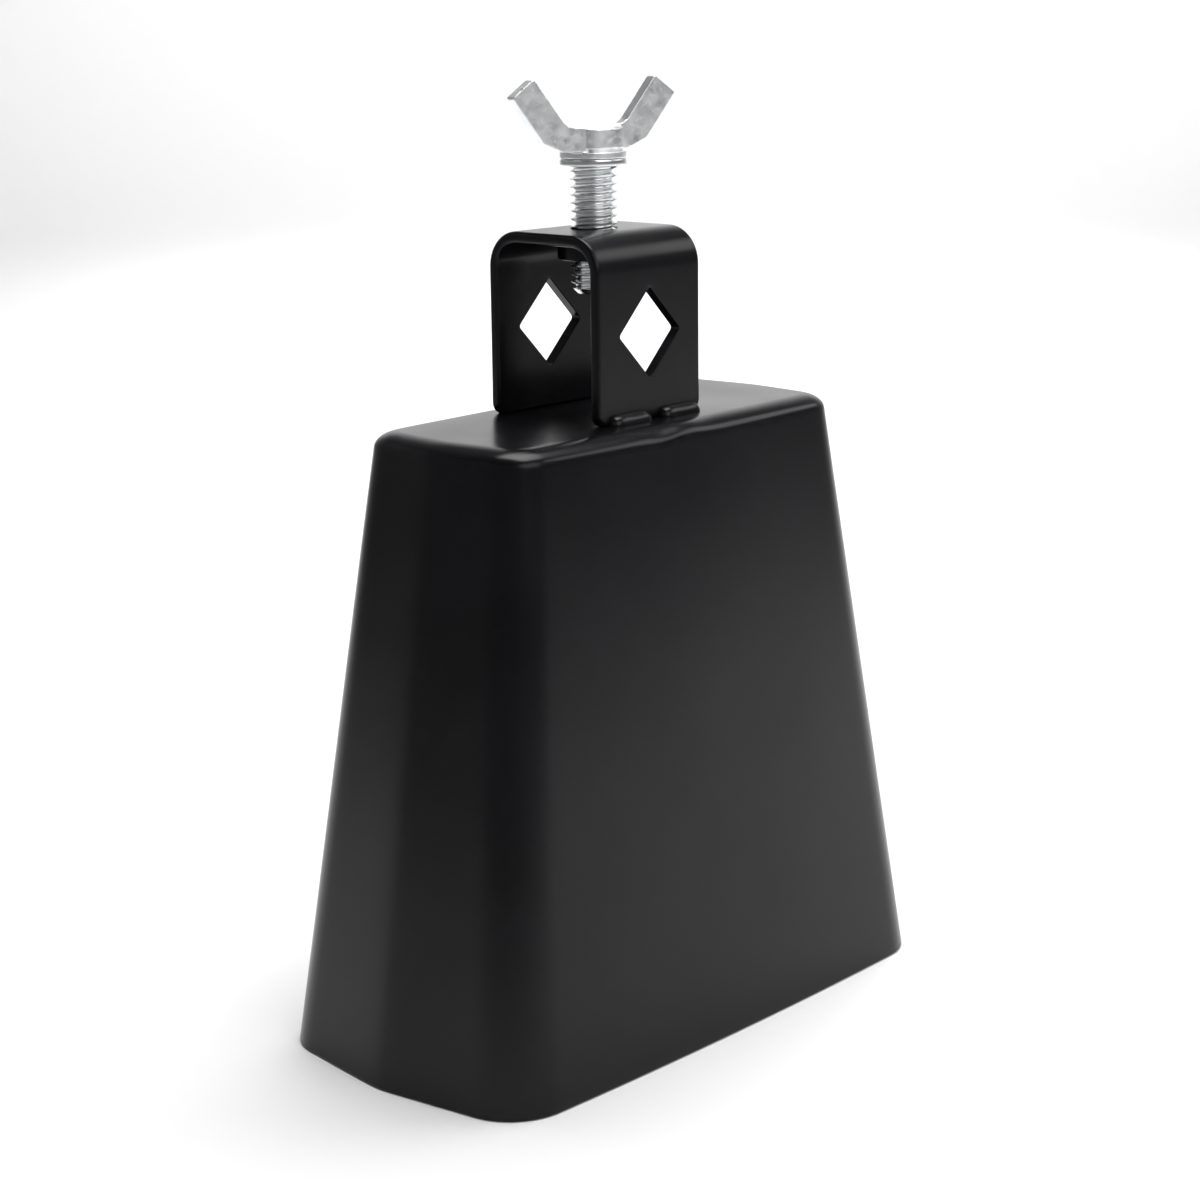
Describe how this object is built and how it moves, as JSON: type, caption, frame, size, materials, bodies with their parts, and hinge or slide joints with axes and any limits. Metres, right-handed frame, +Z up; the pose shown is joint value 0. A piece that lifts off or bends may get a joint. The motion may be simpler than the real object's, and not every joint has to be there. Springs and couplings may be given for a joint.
{
  "type": "cowbell",
  "caption": "Clapperless tapered sheet-steel percussion cowbell with a flat crown, an arched rod clamp with square holes on their corners, and a wing screw.",
  "frame": {"origin": "centre of the mouth, in the plane of its rim", "axes": "+Z up from the mouth through the crown along the wing screw, X along the wide faces, Y from the front face at -Y to the rear face"},
  "size_m": [0.1408, 0.0722, 0.1944],
  "materials": {
    "black_coat": "satin black powder coat on steel",
    "zinc_plate": "bright zinc plate on steel"
  },
  "bodies": {
    "bell": {"front_shell": "black_coat", "rear_shell": "black_coat", "crown": "black_coat", "left_seam_weld": "black_coat", "right_seam_weld": "black_coat", "crown_weld": "black_coat", "clamp_bracket": "black_coat", "front_foot_welds": "black_coat", "rear_foot_welds": "black_coat", "weld_nut": "black_coat"},
    "washer": {"washer": "zinc_plate"},
    "wing_screw": {"wing_head": "zinc_plate", "stud": "zinc_plate"}
  },
  "joints": [
    {"name": "screw_feed", "type": "slide", "parent": "bell", "child": "washer", "axis": [0, 0, 1], "range_m": [-0.0124, 0.006]},
    {"name": "screw_turn", "type": "hinge", "parent": "washer", "child": "wing_screw", "pos_m": [-0.0019, 0.0015, 0.1786], "axis": [0, 0, 1], "range_deg": [-2790, 1350]}
  ],
  "couplings": [
    {"joint": "screw_feed", "follows": "screw_turn", "m_per_rad": 0.00025266}
  ]
}
